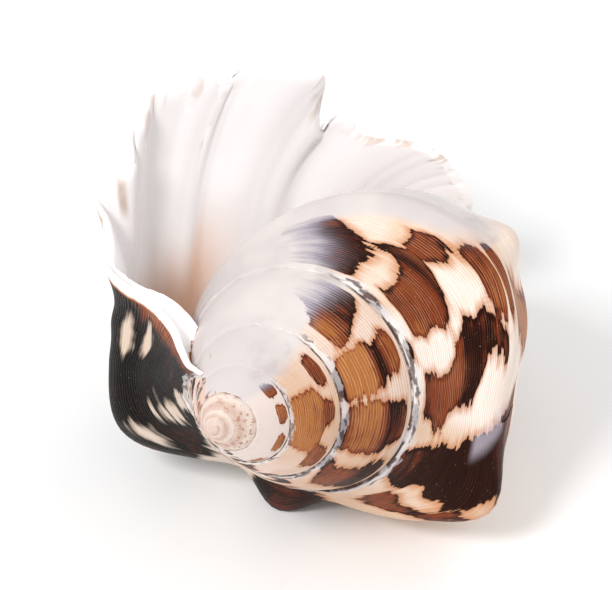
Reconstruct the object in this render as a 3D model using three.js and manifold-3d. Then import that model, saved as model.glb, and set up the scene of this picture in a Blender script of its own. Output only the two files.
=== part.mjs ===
// A conch-like sea shell that lies on its back, aperture up, in millimetres with +Z up.
// The shell is one grown piece. It is worked out in its own frame first: the coiling axis is Z,
// the apex is the origin and the whorls grow downwards, clockwise seen from the apex (dextral).
// A place on it is given by the turn t since the apex, and by how far it lies down the whorl:
// 0 at the suture, about 0.3 at the shoulder and 1 at the tip of the siphonal canal.
import * as THREE from 'three';
import { mergeVertices } from 'three/addons/utils/BufferGeometryUtils.js';
import Module from 'manifold-3d';

// Growth of the spire: the suture's radius is SUTURE_START * exp(GROWTH * t + SLOWING * t * t),
// and its depth under the apex is SPIRE_SLOPE * radius ** SPIRE_CURVE.
const SUTURE_START = 1.35;
const GROWTH = 0.6644;
const SLOWING = -0.0216;
const SPIRE_SLOPE = 0.729;
const SPIRE_CURVE = 1.2085;
const WHORL_BULGE = 0.045;

// The last quarter turn climbs back up the spire: turn, radius of the suture.
const CLIMB_START = 6.28;
const CLIMB = [[6.28, 37.4], [6.4, 36.4], [6.5, 30.7], [6.6, 21.8], [6.66, 16.1], [6.71, 12.7]];

// Shoulder of the body whorl: turn, radius, height.
const SHOULDER = [
  [5.0, 33.5, -51.0], [5.156, 35.6, -54.6], [5.45, 37.4, -57.7], [5.65, 37.2, -59.3],
  [5.75, 38.5, -61.9], [5.83, 44.2, -65.5], [5.92, 53.6, -69.7], [5.98, 58.8, -71.2],
  [6.02, 60.3, -71.8], [6.07, 57.7, -71.8], [6.12, 54.9, -72.0], [6.17, 57.7, -72.5],
  [6.215, 61.4, -72.8], [6.26, 56.7, -73.3], [6.31, 50.4, -74.1], [6.35, 47.3, -74.4],
  [6.4, 49.9, -73.8], [6.44, 46.8, -70.2], [6.48, 53.3, -63.7], [6.53, 63.4, -55.9],
  [6.58, 60.6, -52.5], [6.63, 54.0, -51.5], [6.68, 51.0, -52.0], [6.75, 51.0, -53.3],
  [6.95, 48.0, -58.5],
];

// Knobs on the shoulder: turn, height of the knob, place down the whorl.
const KNOBS = [
  [6.014, 4.2, 0.42], [6.205, 4.7, 0.31], [6.4, 7.0, 0.32], [6.515, 4.2, 0.34],
  [6.3, 6.8, 0.5], [6.41, 5.2, 0.66],
];
const KNOB_WIDTH_TURNS = 0.032;
const KNOB_WIDTH_DOWN = 0.075;

// Tip of the siphonal canal: radius, height.
const TIP = [5.7, -156.0];

// Rim of the lip, from its end on the spire to the canal: place down the whorl, radius, turn, height.
const RIM = [
  [0.0, 12.7, 6.705, -16.1], [0.05, 18.7, 6.675, -19.5], [0.1, 24.7, 6.672, -24.7],
  [0.15, 30.9, 6.676, -29.9], [0.19, 38.7, 6.673, -35.1], [0.23, 47.1, 6.666, -40.3],
  [0.26, 55.9, 6.658, -45.5], [0.3, 66.0, 6.658, -50.7], [0.335, 71.0, 6.668, -55.9],
  [0.37, 76.7, 6.678, -59.8], [0.4, 82.7, 6.682, -63.7], [0.43, 81.6, 6.69, -68.9],
  [0.46, 81.4, 6.703, -74.1], [0.485, 88.4, 6.712, -78.0], [0.505, 88.9, 6.719, -81.9],
  [0.53, 93.9, 6.725, -88.4], [0.56, 91.8, 6.736, -96.2], [0.585, 88.7, 6.746, -102.7],
  [0.6, 82.4, 6.744, -105.3], [0.615, 86.6, 6.759, -107.9], [0.65, 83.7, 6.773, -114.4],
  [0.69, 73.6, 6.794, -124.8], [0.705, 66.5, 6.784, -127.4], [0.715, 58.2, 6.774, -128.7],
  [0.73, 61.9, 6.782, -131.3], [0.745, 60.4, 6.79, -134.4], [0.765, 52.0, 6.797, -137.8],
  [0.81, 46.8, 6.856, -144.3], [0.87, 38.7, 6.892, -149.5], [0.92, 30.4, 6.925, -153.4],
  [1.0, 14.6, 6.915, -161.2],
];
// How suddenly the wall bends out to the rim: place down the whorl, power.
const FLARE = [[0, 3], [0.2, 4], [0.32, 8], [0.42, 7], [0.5, 5], [0.7, 3.5], [1, 3]];
// Wall thickness inside the whorl and at the rim: place down the whorl, thickness.
const WALL = 2.6;
const RIM_WALL = [[0, 3.2], [0.1, 4.2], [0.26, 4.0], [0.34, 2.6], [0.5, 2.2], [0.8, 2.2], [1, 2.2]];
const ROOT_INWARD = 4.5;
const ROOT_DOWN = 1.5;
const SUTURE_SINK = 0.5;
// How far the wall's first edge reaches back into the body, and how deep under its surface.
const OVERLAP_TURNS = 0.02;
const OVERLAP_DEPTH = 1.2;

// Faceting
const STEPS_PER_TURN = 32;
const CORE_END = 6.15625;
const LIP_ROWS = 19;
const LIP_CROWDING = 1.35;
const FACE_STEPS = 3;
const DOWN = [
  0, 0.1, 0.2, 0.3, 0.325, 0.35, 0.375, 0.4, 0.42, 0.44, 0.46, 0.485, 0.505, 0.53, 0.56, 0.585, 0.6, 0.615,
  0.64, 0.67, 0.69, 0.705, 0.715, 0.73, 0.745, 0.765, 0.79, 0.815, 0.845, 0.875, 0.9, 0.93, 0.965, 1,
];

// How the shell lies: the coiling axis first leans, then the shell turns about the old axis line,
// and last it rolls over on its back. REST_CUT is how much of the lowest knobs is worn flat.
const LEAN = THREE.MathUtils.degToRad(29.83);
const TURN = THREE.MathUtils.degToRad(31.37);
const ROLL = THREE.MathUtils.degToRad(52);
const REST_CUT = 0.8;

const TAU = 2 * Math.PI;

// A smooth line through rows of [place, value, value...], level beyond its ends.
function through(rows, place) {
  const last = rows.length - 1;
  const at = Math.min(Math.max(place, rows[0][0]), rows[last][0]);
  let i = 0;
  while (i < last - 1 && at >= rows[i + 1][0]) i += 1;
  const span = rows[i + 1][0] - rows[i][0];
  const u = (at - rows[i][0]) / span;
  const slope = (k, c) => {
    const before = Math.max(k - 1, 0);
    const after = Math.min(k + 1, last);
    return (rows[after][c] - rows[before][c]) / (rows[after][0] - rows[before][0]);
  };
  const values = [];
  for (let c = 1; c < rows[0].length; c += 1) {
    values.push((2 * u ** 3 - 3 * u ** 2 + 1) * rows[i][c]
      + (u ** 3 - 2 * u ** 2 + u) * span * slope(i, c)
      + (3 * u ** 2 - 2 * u ** 3) * rows[i + 1][c]
      + (u ** 3 - u ** 2) * span * slope(i + 1, c));
  }
  return values;
}

const freeSutureRadius = (t) => SUTURE_START * Math.exp(GROWTH * t + SLOWING * t * t);
const spireHeight = (radius) => -SPIRE_SLOPE * radius ** SPIRE_CURVE;

function suture(t) {
  const radius = t < CLIMB_START ? freeSutureRadius(t) : through(CLIMB, t)[0];
  return [radius, spireHeight(radius)];
}

// A straight slope from a to b that swells by bulge times its length in the middle.
function swelling(a, b, u, bulge) {
  const rise = bulge * 4 * u * (1 - u);
  return [
    a[0] + (b[0] - a[0]) * u + (a[1] - b[1]) * rise,
    a[1] + (b[1] - a[1]) * u + (b[0] - a[0]) * rise,
  ];
}

// Outline of a whole whorl at turn t, as radius and height.
function whorl(t, down) {
  const top = suture(t);
  const [radius, height] = through(SHOULDER, t);
  const opening = Math.min(Math.max((t - 5.6) / 0.35, 0), 1);
  const ramp = (u) => swelling(top, [radius, height], u, WHORL_BULGE - 0.1 * opening);
  const outline = [
    [0, ...ramp(0)],
    [0.1, ...ramp(1 / 3)],
    [0.2, ...ramp(2 / 3)],
    [0.27, ...ramp(0.92)],
    [0.32, radius + 0.3, height - 3.1],
    [0.38, radius - 0.8, height - 10.9],
    [0.5, radius * 0.92, height - 26],
    [0.68, radius * 0.62 + 1.6, height - 52],
    [0.86, radius * 0.1 + 13, -140.4],
    [1, ...TIP],
  ];
  const place = through(outline, down);
  for (const [turn, size, middle] of KNOBS) {
    const across = (t - turn) / KNOB_WIDTH_TURNS;
    const along = (down - middle) / KNOB_WIDTH_DOWN;
    const swell = size * Math.exp(-across * across - along * along);
    place[0] += swell;
    place[1] -= 0.15 * swell;
  }
  return place;
}

// The strip of a spire whorl that the next whorl leaves free.
function freeFace(t, u) {
  const radius = freeSutureRadius(t + 1);
  return swelling(suture(t), [radius, spireHeight(radius)], u, WHORL_BULGE);
}

// Outer side of the last half turn: grown is 0 where it leaves the body and 1 at the rim.
function lipWall(grown, down) {
  const [rimRadius, rimTurn, rimHeight] = through(RIM, down);
  const t = CORE_END + grown * (rimTurn - CORE_END);
  const here = whorl(t, down);
  const there = whorl(rimTurn, down);
  const bend = grown ** through(FLARE, down)[0];
  const sink = down === 0 ? SUTURE_SINK * Math.min(1, 8 * grown) : 0;
  return [
    here[0] + bend * (rimRadius - there[0]) - sink,
    here[1] + bend * (rimHeight - there[1]) - sink,
    t,
  ];
}

function point(radius, height, t) {
  return new THREE.Vector3(radius * Math.cos(TAU * t), -radius * Math.sin(TAU * t), height);
}

// Collects points and faces of one closed body.
class Body {
  constructor() {
    this.points = [];
    this.faces = [];
  }

  add(place) {
    this.points.push(place.x, place.y, place.z);
    return this.points.length / 3 - 1;
  }

  quad(a, b, c, d) {
    this.faces.push(a, b, c, a, c, d);
  }

  geometry() {
    const geometry = new THREE.BufferGeometry();
    geometry.setAttribute('position', new THREE.Float32BufferAttribute(this.points, 3));
    geometry.setIndex(this.faces);
    return mergeVertices(geometry, 1e-4);
  }
}

// Spire and body whorl up to the place where the last half turn goes on as a thin wall.
function coiledBody() {
  const body = new Body();
  const lastRow = Math.round(CORE_END * STEPS_PER_TURN);
  const firstWholeRow = lastRow - STEPS_PER_TURN;
  const sutures = [];
  for (let i = 0; i <= lastRow; i += 1) {
    const t = i / STEPS_PER_TURN;
    sutures.push(body.add(point(...suture(t), t)));
  }
  const rows = [];
  for (let i = 0; i <= lastRow; i += 1) {
    const t = i / STEPS_PER_TURN;
    const row = [sutures[i]];
    if (i < firstWholeRow) {
      for (let j = 1; j < FACE_STEPS; j += 1) row.push(body.add(point(...freeFace(t, j / FACE_STEPS), t)));
      row.push(sutures[i + STEPS_PER_TURN]);
    } else {
      for (let j = 1; j < DOWN.length; j += 1) {
        const meets = i === firstWholeRow && j === FACE_STEPS;
        row.push(meets ? sutures[lastRow] : body.add(point(...whorl(t, DOWN[j]), t)));
      }
    }
    rows.push(row);
  }
  for (let i = 0; i < lastRow; i += 1) {
    const steps = i < firstWholeRow ? FACE_STEPS : DOWN.length - 1;
    for (let j = 0; j < steps; j += 1) {
      body.quad(rows[i][j], rows[i + 1][j], rows[i + 1][j + 1], rows[i][j + 1]);
    }
  }
  // the nucleus
  const apex = body.add(new THREE.Vector3(0, 0, 0.3));
  for (let i = 0; i < STEPS_PER_TURN; i += 1) body.faces.push(apex, sutures[i + 1], sutures[i]);
  for (let j = 0; j < FACE_STEPS; j += 1) body.faces.push(apex, rows[0][j], rows[0][j + 1]);
  // the bottom of the columella
  const foot = body.add(new THREE.Vector3(0, 0, TIP[1] - 1));
  for (let i = firstWholeRow; i < lastRow; i += 1) {
    body.faces.push(foot, rows[i][DOWN.length - 1], rows[i + 1][DOWN.length - 1]);
  }
  // the flat end of the body, deep in the whorl
  const outer = rows[lastRow];
  const inner = rows[firstWholeRow];
  for (let j = 1; j < FACE_STEPS; j += 1) body.faces.push(outer[0], outer[j + 1], outer[j]);
  for (let j = FACE_STEPS; j < DOWN.length - 2; j += 1) body.quad(outer[j + 1], outer[j], inner[j], inner[j + 1]);
  body.faces.push(outer[DOWN.length - 1], outer[DOWN.length - 2], inner[DOWN.length - 2]);
  return body.geometry();
}

// Points on the outside and the inside of the wall in one cross-section, from its root in the body.
function wallSection(grown) {
  const small = 1e-3;
  const outside = [];
  const inside = [];
  for (const down of DOWN) {
    const outer = point(...lipWall(grown, down));
    const g = Math.min(Math.max(grown, small), 1 - small);
    const d = Math.min(Math.max(down, 2 * small), 1 - small);
    const start = point(...lipWall(g, d));
    const alongGrowth = point(...lipWall(g + small, d)).sub(start);
    const alongDown = point(...lipWall(g, d + small)).sub(start);
    const inward = new THREE.Vector3().crossVectors(alongDown, alongGrowth).normalize();
    const wall = WALL + grown ** 4 * (through(RIM_WALL, down)[0] - WALL);
    if (down === 0) {
      const [radius, height, t] = lipWall(grown, 0);
      const root = point(radius - ROOT_INWARD, height - ROOT_DOWN, t);
      outside.push(root);
      inside.push(root.clone().addScaledVector(inward, wall));
    }
    outside.push(outer);
    inside.push(outer.clone().addScaledVector(inward, wall));
  }
  return { outside, inside };
}

// The same section a little earlier in growth and under the surface, to overlap the body.
function buriedSection() {
  const { outside, inside } = wallSection(0);
  const back = new THREE.Matrix4().makeRotationZ(TAU * OVERLAP_TURNS);
  const depth = OVERLAP_DEPTH / WALL;
  return {
    outside: outside.map((p, j) => p.clone().lerp(inside[j], depth).applyMatrix4(back)),
    inside: inside.map((p, j) => p.clone().lerp(outside[j], -depth).applyMatrix4(back)),
  };
}

// The thin wall of the last half turn, flaring to the lip.
function flaredWall() {
  const body = new Body();
  const sections = [buriedSection()];
  for (let i = 0; i <= LIP_ROWS; i += 1) sections.push(wallSection(1 - (1 - i / LIP_ROWS) ** LIP_CROWDING));
  const outside = sections.map((section) => section.outside.map((p) => body.add(p)));
  const inside = sections.map((section) => section.inside.map((p) => body.add(p)));
  const last = DOWN.length;
  const rim = sections.length - 1;
  for (let i = 0; i < rim; i += 1) {
    for (let j = 0; j < last; j += 1) {
      body.quad(outside[i][j], outside[i + 1][j], outside[i + 1][j + 1], outside[i][j + 1]);
      body.quad(inside[i][j], inside[i][j + 1], inside[i + 1][j + 1], inside[i + 1][j]);
    }
    body.quad(outside[i][0], inside[i][0], inside[i + 1][0], outside[i + 1][0]);
    body.quad(outside[i][last], outside[i + 1][last], inside[i + 1][last], inside[i][last]);
  }
  for (let j = 0; j < last; j += 1) {
    body.quad(outside[0][j], outside[0][j + 1], inside[0][j + 1], inside[0][j]);
    body.quad(outside[rim][j], inside[rim][j], inside[rim][j + 1], outside[rim][j + 1]);
  }
  return body.geometry();
}

const wasm = await Module();
wasm.setup();

function toSolid(geometry) {
  return new wasm.Manifold(new wasm.Mesh({
    numProp: 3,
    vertProperties: new Float32Array(geometry.attributes.position.array),
    triVerts: new Uint32Array(geometry.index.array),
  }));
}

function toGeometry(solid) {
  const mesh = solid.getMesh();
  const geometry = new THREE.BufferGeometry();
  geometry.setAttribute('position', new THREE.Float32BufferAttribute(mesh.vertProperties, 3));
  geometry.setIndex(Array.from(mesh.triVerts));
  return geometry;
}

// The shell as it lies, before its lowest knobs are worn flat.
function lyingShell() {
  const laid = new THREE.Matrix4().makeRotationX(ROLL);
  laid.multiply(new THREE.Matrix4().makeRotationZ(TURN));
  laid.multiply(new THREE.Matrix4().makeRotationY(-LEAN));
  const geometry = toGeometry(toSolid(coiledBody()).add(toSolid(flaredWall())));
  geometry.applyMatrix4(laid);
  geometry.computeBoundingBox();
  const { min, max } = geometry.boundingBox;
  return geometry.translate(-(min.x + max.x) / 2, -(min.y + max.y) / 2, -min.z - REST_CUT);
}

// The shell with a flat worn on each knob that reaches the surface it lies on.
function wornShell() {
  const belowGround = new THREE.BoxGeometry(400, 400, 40).translate(0, 0, -20);
  belowGround.deleteAttribute('normal');
  belowGround.deleteAttribute('uv');
  return toGeometry(toSolid(lyingShell()).subtract(toSolid(mergeVertices(belowGround))));
}

const mesh = new THREE.Mesh(
  wornShell(),
  new THREE.MeshStandardMaterial({ color: 0xb98a62, roughness: 0.35, metalness: 0 }),
);
mesh.name = 'shell';
const shell = new THREE.Group();
shell.add(mesh);
export default shell;
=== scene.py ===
# %% [markdown]
# # A conch shell on its back
# The object is one empty sea shell: a coiled cone that grew at its lip, wider with every turn. The last
# half turn is a thin wall that flares out into a ragged lip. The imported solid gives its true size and
# the place where it lies; here the same growth is made again, fine enough for a close look.

# %% Load the frame
import math
import bpy
import numpy as np
from mathutils import Matrix, Vector


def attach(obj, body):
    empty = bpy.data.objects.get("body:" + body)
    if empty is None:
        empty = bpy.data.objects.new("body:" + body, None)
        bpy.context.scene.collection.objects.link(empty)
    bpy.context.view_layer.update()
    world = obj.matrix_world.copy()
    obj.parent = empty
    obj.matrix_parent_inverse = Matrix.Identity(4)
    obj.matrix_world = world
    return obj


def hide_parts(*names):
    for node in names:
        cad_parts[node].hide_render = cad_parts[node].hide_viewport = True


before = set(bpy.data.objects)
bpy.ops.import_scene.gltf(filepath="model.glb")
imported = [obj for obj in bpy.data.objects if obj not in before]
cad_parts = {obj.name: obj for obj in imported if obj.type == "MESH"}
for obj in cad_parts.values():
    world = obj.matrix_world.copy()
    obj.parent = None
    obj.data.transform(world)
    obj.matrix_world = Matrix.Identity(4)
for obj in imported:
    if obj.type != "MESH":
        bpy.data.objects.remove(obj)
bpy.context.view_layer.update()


def let_go():
    """Leaves object mode with nothing selected."""
    if bpy.context.object and bpy.context.object.mode != "OBJECT":
        bpy.ops.object.mode_set(mode="OBJECT")
    bpy.ops.object.select_all(action="DESELECT")


def pick(*pieces):
    """Selects pieces; the first one is active."""
    let_go()
    for piece in pieces:
        piece.select_set(True)
    bpy.context.view_layer.objects.active = pieces[0]


# %% [markdown]
# ## How a shell grows
# Every point has a turn, counted from the apex, and a place down the whorl: 0 at the suture, about 0.3
# at the shoulder and 1 at the tip of the canal. A spiral by formula gives the spire, and short lists of
# named places give what no formula can know: the knobbed shoulder and the ragged rim. Sculpting by hand
# could give the same form, but growth rings, sutures and threads follow these two numbers, so they
# are kept on the mesh as its UV map, and the colours are painted by them later.

# %% Growth of the spire and the shoulder, in millimetres
SUTURE_START, GROWTH, SLOWING = 1.35, 0.6644, -0.0216
SPIRE_SLOPE, SPIRE_CURVE = 0.729, 1.2085
WHORL_BULGE = 0.045
CLIMB_START = 6.28
CLIMB = [(6.28, 37.4), (6.4, 36.4), (6.5, 30.7), (6.6, 21.8), (6.66, 16.1), (6.71, 12.7)]
SHOULDER = [
    (5.0, 33.5, -51.0), (5.156, 35.6, -54.6), (5.45, 37.4, -57.7), (5.65, 37.2, -59.3),
    (5.75, 38.5, -61.9), (5.83, 44.2, -65.5), (5.92, 53.6, -69.7), (5.98, 58.8, -71.2),
    (6.02, 60.3, -71.8), (6.07, 57.7, -71.8), (6.12, 54.9, -72.0), (6.17, 57.7, -72.5),
    (6.215, 61.4, -72.8), (6.26, 56.7, -73.3), (6.31, 50.4, -74.1), (6.35, 47.3, -74.4),
    (6.4, 49.9, -73.8), (6.44, 46.8, -70.2), (6.48, 53.3, -63.7), (6.53, 63.4, -55.9),
    (6.58, 60.6, -52.5), (6.63, 54.0, -51.5), (6.68, 51.0, -52.0), (6.75, 51.0, -53.3),
    (6.95, 48.0, -58.5),
]
KNOBS = [
    (5.996, 5.2, 0.43, 0.022, 0.07), (6.034, -1.6, 0.44, 0.018, 0.08), (6.205, 4.7, 0.31, 0.032, 0.075),
    (6.4, 7.0, 0.32, 0.032, 0.075), (6.515, 4.2, 0.34, 0.032, 0.075), (6.3, 6.8, 0.5, 0.032, 0.075),
    (6.41, 5.2, 0.66, 0.032, 0.075), (6.575, 1.6, 0.13, 0.022, 0.05), (6.61, -1.5, 0.2, 0.02, 0.06),
    (6.54, 1.7, 0.31, 0.07, 0.08), (6.617, 1.7, 0.31, 0.014, 0.08),
]
TIP = (5.7, -156.0)


def through(rows, place):
    """A smooth line through rows of (place, value, ...), level beyond its ends."""
    rows = np.asarray(rows, float)
    at = np.clip(place, rows[0, 0], rows[-1, 0])
    after = rows[np.minimum(np.arange(len(rows)) + 1, len(rows) - 1)]
    before = rows[np.maximum(np.arange(len(rows)) - 1, 0)]
    slope = (after[:, 1:] - before[:, 1:]) / (after[:, :1] - before[:, :1])
    i = np.clip(np.searchsorted(rows[:, 0], at, side="right") - 1, 0, len(rows) - 2)
    span = (rows[i + 1, 0] - rows[i, 0])[..., None]
    u = (at[..., None] - rows[i, 0][..., None]) / span
    return ((2 * u ** 3 - 3 * u ** 2 + 1) * rows[i, 1:] + (u ** 3 - 2 * u ** 2 + u) * span * slope[i]
            + (3 * u ** 2 - 2 * u ** 3) * rows[i + 1, 1:] + (u ** 3 - u ** 2) * span * slope[i + 1])


def suture(turn):
    """Radius and height of the line where a whorl meets the one before it."""
    free = SUTURE_START * np.exp(GROWTH * turn + SLOWING * turn ** 2)
    radius = np.where(turn < CLIMB_START, free, through(CLIMB, turn)[..., 0])
    return np.stack([radius, -SPIRE_SLOPE * radius ** SPIRE_CURVE], -1)


def swelling(a, b, u, bulge):
    """A straight slope from a to b that swells in the middle."""
    rise = bulge * 4 * u * (1 - u)
    along = b - a
    across = np.stack([-along[..., 1], along[..., 0]], -1)
    return a + along * u[..., None] + across * rise[..., None]


def whorl(turn, down):
    """Radius and height on the outside of a whole whorl."""
    turn, down = np.broadcast_arrays(np.asarray(turn, float), np.asarray(down, float))
    top = suture(turn)
    shoulder = through(SHOULDER, turn)
    radius, height = shoulder[..., 0], shoulder[..., 1]
    bulge = WHORL_BULGE - 0.1 * np.clip((turn - 5.6) / 0.35, 0, 1)
    places = np.array([0, 0.1, 0.2, 0.27, 0.32, 0.38, 0.5, 0.68, 0.86, 1.0])
    values = [swelling(top, shoulder, np.full_like(turn, u), bulge) for u in (0, 1 / 3, 2 / 3, 0.92)]
    values += [
        np.stack([radius + 0.3, height - 3.1], -1),
        np.stack([radius - 0.8, height - 10.9], -1),
        np.stack([radius * 0.92, height - 26], -1),
        np.stack([radius * 0.62 + 1.6, height - 52], -1),
        np.stack([radius * 0.1 + 13, np.full_like(radius, -140.4)], -1),
        np.stack([np.full_like(radius, TIP[0]), np.full_like(radius, TIP[1])], -1),
    ]
    values = np.stack(values)
    slope = np.empty_like(values)
    last = len(places) - 1
    for k in range(last + 1):
        lo, hi = max(k - 1, 0), min(k + 1, last)
        slope[k] = (values[hi] - values[lo]) / (places[hi] - places[lo])
    i = np.clip(np.searchsorted(places, down, side="right") - 1, 0, last - 1)
    span = (places[i + 1] - places[i])[..., None]
    u = (down[..., None] - places[i][..., None]) / span
    at = lambda rows, k: np.take_along_axis(rows, k[None, ..., None].repeat(2, -1), 0)[0]
    place = ((2 * u ** 3 - 3 * u ** 2 + 1) * at(values, i) + (u ** 3 - 2 * u ** 2 + u) * span * at(slope, i)
             + (3 * u ** 2 - 2 * u ** 3) * at(values, i + 1) + (u ** 3 - u ** 2) * span * at(slope, i + 1))
    for middle, size, row, wide, tall in KNOBS:
        swell = size * np.exp(-((turn - middle) / wide) ** 2 - ((down - row) / tall) ** 2)
        place = place + swell[..., None] * np.array([1, -0.15])
    return place


def sutured(outline, turn, down):
    """The outline with the small crinkled step by which a whorl stands proud of its suture."""
    crinkle = 1 + 0.35 * np.sin(turn * 95) + 0.25 * np.sin(turn * 231 + 1)
    height = np.clip(suture(np.minimum(turn, 6.3))[..., 0] * 0.022, 0, 0.75) * crinkle
    step = height * (1 - np.exp(-down / 0.005)) * np.exp(-(down / 0.04) ** 2)
    return outline + step[..., None] * np.array([0.62, 0.78])


turns = np.linspace(0, 6.156, 7)
print("suture radius at each turn:", [round(float(r), 1) for r in suture(turns)[:, 0]])

# %% [markdown]
# ## The ragged rim
# The rim of a real lip grew in lobes and was chipped later. It is a list of places, and how sharply the
# wall bends out to it changes down the whorl: beside the shoulder it bends last, which leaves a narrow
# neck behind the lip. Small nicks are cut inwards only, so they never make the shell larger.

# %% The rim of the lip and the wall that flares out to it
RIM = [
    (0.0, 12.7, 6.705, -16.1), (0.05, 18.7, 6.675, -19.5), (0.1, 24.7, 6.672, -24.7),
    (0.15, 30.9, 6.676, -29.9), (0.19, 38.7, 6.673, -35.1), (0.23, 47.1, 6.666, -40.3),
    (0.26, 55.9, 6.658, -45.5), (0.3, 66.0, 6.658, -50.7), (0.335, 71.0, 6.668, -55.9),
    (0.37, 76.7, 6.678, -59.8), (0.4, 82.7, 6.682, -63.7), (0.43, 81.6, 6.69, -68.9),
    (0.46, 81.4, 6.703, -74.1), (0.485, 88.4, 6.712, -78.0), (0.505, 88.9, 6.719, -81.9),
    (0.53, 93.9, 6.725, -88.4), (0.545, 93.3, 6.729, -91.5), (0.56, 91.9, 6.735, -95.9),
    (0.573, 91.0, 6.743, -100.0), (0.585, 87.2, 6.747, -103.2), (0.6, 83.8, 6.746, -106.0),
    (0.613, 85.2, 6.753, -106.0), (0.625, 86.8, 6.76, -109.1), (0.65, 83.6, 6.773, -114.4),
    (0.67, 77.2, 6.788, -120.4), (0.69, 73.7, 6.794, -124.9), (0.705, 66.8, 6.782, -127.0),
    (0.715, 59.0, 6.77, -128.0), (0.73, 61.9, 6.782, -131.3), (0.745, 60.4, 6.79, -134.4),
    (0.765, 52.0, 6.797, -137.8), (0.81, 46.8, 6.856, -144.3), (0.87, 38.7, 6.892, -149.5),
    (0.92, 30.4, 6.925, -153.4), (1.0, 14.6, 6.915, -161.2),
]
FLARE = [(0, 4), (0.15, 9), (0.24, 15), (0.32, 18), (0.4, 9), (0.5, 5), (0.7, 3.5), (1, 3)]
WALL = 2.6
RIM_WALL = [(0, 3.2), (0.1, 4.2), (0.26, 4.0), (0.34, 2.6), (0.5, 2.2), (0.8, 2.2), (1, 2.2)]
BODY_END = 6.15625
ROOT_INWARD, ROOT_DOWN = 4.5, 1.5


def rim_at(down):
    """Radius, turn and height of the rim, with small nicks broken out between its listed places."""
    nicks = 0.5 * np.sin(down * 383) + 0.4 * np.sin(down * 611 + 1) + 0.35 * np.sin(down * 977 + 2)
    nicks = np.clip(nicks, 0, 2) * np.clip((down - 0.05) / 0.3, 0.25, 1)
    return through(RIM, down) - np.stack([nicks * 0.7, nicks * 0.0012, nicks * -0.3], -1)


def lip(grown, down):
    """Radius, height and turn on the outside of the last half turn; grown is 1 at the rim."""
    rim = rim_at(down)
    broad = sum(rim_at(np.clip(down + step, 0, 1)) for step in np.linspace(-0.018, 0.018, 7)) / 7
    rim = broad + (rim - broad) * (grown ** 9)[..., None]
    turn = BODY_END + grown * (rim[..., 1] - BODY_END)
    bend = grown ** through(FLARE, down)[..., 0]
    here = whorl(turn, down)
    there = whorl(rim[..., 1], down)
    return np.stack([
        here[..., 0] + bend * (rim[..., 0] - there[..., 0]),
        here[..., 1] + bend * (rim[..., 2] - there[..., 1]),
        turn,
    ], -1)


def around_axis(radius, height, turn):
    """Points in the shell's own frame: the coiling axis is Z and the apex is the origin."""
    angle = 2 * math.pi * turn
    return np.stack([radius * np.cos(angle), -radius * np.sin(angle), height], -1)


print("rim reaches", round(float(through(RIM, np.linspace(0, 1, 200))[:, 0].max()), 1), "mm from the axis")

# %% [markdown]
# ## How the shell lies
# The coiling axis leans, the shell is turned about it and then rolled on its back. All three turns are
# read off the photographed view, and the apex ends up at a known place above the surface.

# %% From the shell's own frame to where it lies, in metres
LAID = (Matrix.Translation((-0.0256969, -0.0710453, 0.0782655))
        @ Matrix.Rotation(math.radians(52), 4, "X")
        @ Matrix.Rotation(math.radians(31.37), 4, "Z")
        @ Matrix.Rotation(math.radians(-29.83), 4, "Y")
        @ Matrix.Scale(0.001, 4))
print("apex at", [round(x, 4) for x in LAID.translation])


# %% [markdown]
# ## Rows of a grown surface
# A grid primitive is the right start for a grown surface: its columns are steps of growth and its rows
# run down the whorl. Its corners are moved to where growth puts them, which is what a proportional edit
# does by hand, only exactly. Turn and place down go to the UV map at the same time.

# %% A grid laid over a grown surface
def grown_grid(name, columns, rows, place):
    """A grid whose corner (column, row) sits at place(column, row), which gives points, turn, down."""
    let_go()
    bpy.ops.mesh.primitive_grid_add(x_subdivisions=len(columns) - 1, y_subdivisions=len(rows) - 1, size=2)
    piece = bpy.context.object
    piece.name = name
    piece.data.name = name
    start = np.empty(len(piece.data.vertices) * 3)
    piece.data.vertices.foreach_get("co", start)
    start = start.reshape(-1, 3)
    i = np.rint((start[:, 0] + 1) / 2 * (len(columns) - 1)).astype(int)
    j = np.rint((start[:, 1] + 1) / 2 * (len(rows) - 1)).astype(int)
    points, turn, down = place(np.asarray(columns)[i], np.asarray(rows)[j])
    piece.data.vertices.foreach_set("co", points.astype(np.float32).ravel())
    corner = np.empty(len(piece.data.loops), int)
    piece.data.loops.foreach_get("vertex_index", corner)
    growth = piece.data.uv_layers[0]
    growth.name = "growth"
    growth.data.foreach_set("uv", np.stack([turn[corner], down[corner]], -1).astype(np.float32).ravel())
    piece.data.update()
    return piece


STEPS = 256
FACE = np.array([0, 0.007, 0.015, 0.024, 0.035, 0.05, 0.068, 0.088, 0.11, 0.133, 0.157, 0.182, 0.208,
                 0.234, 0.258, 0.278, 0.291, 0.3])
DOWN = np.concatenate([FACE, np.linspace(0.3, 1, 86)[1:]])
FIRST_WHOLE = BODY_END - 1


def spire_place(turn, down):
    low = suture(turn + 1)
    outline = swelling(suture(turn), low, down / 0.3, np.full_like(turn, WHORL_BULGE))
    outline = sutured(outline, turn, down)
    return around_axis(outline[..., 0], outline[..., 1], turn), turn, down


def body_place(turn, down):
    outline = whorl(turn, down)
    low = suture(turn + 1)
    strip = swelling(suture(turn), low, np.minimum(down / 0.3, 1), np.full_like(turn, WHORL_BULGE))
    near = np.clip(1 - (turn - FIRST_WHOLE) / 0.05, 0, 1)
    near = (near * near * (3 - 2 * near) * np.clip((0.4 - down) / 0.1, 0, 1))[..., None]
    below = whorl(turn, np.full_like(down, 0.3))
    outline = outline + near * (np.where(down[..., None] <= 0.3, strip - outline, low - below))
    outline = sutured(outline, turn, down)
    return around_axis(outline[..., 0], outline[..., 1], turn), turn, down


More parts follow.
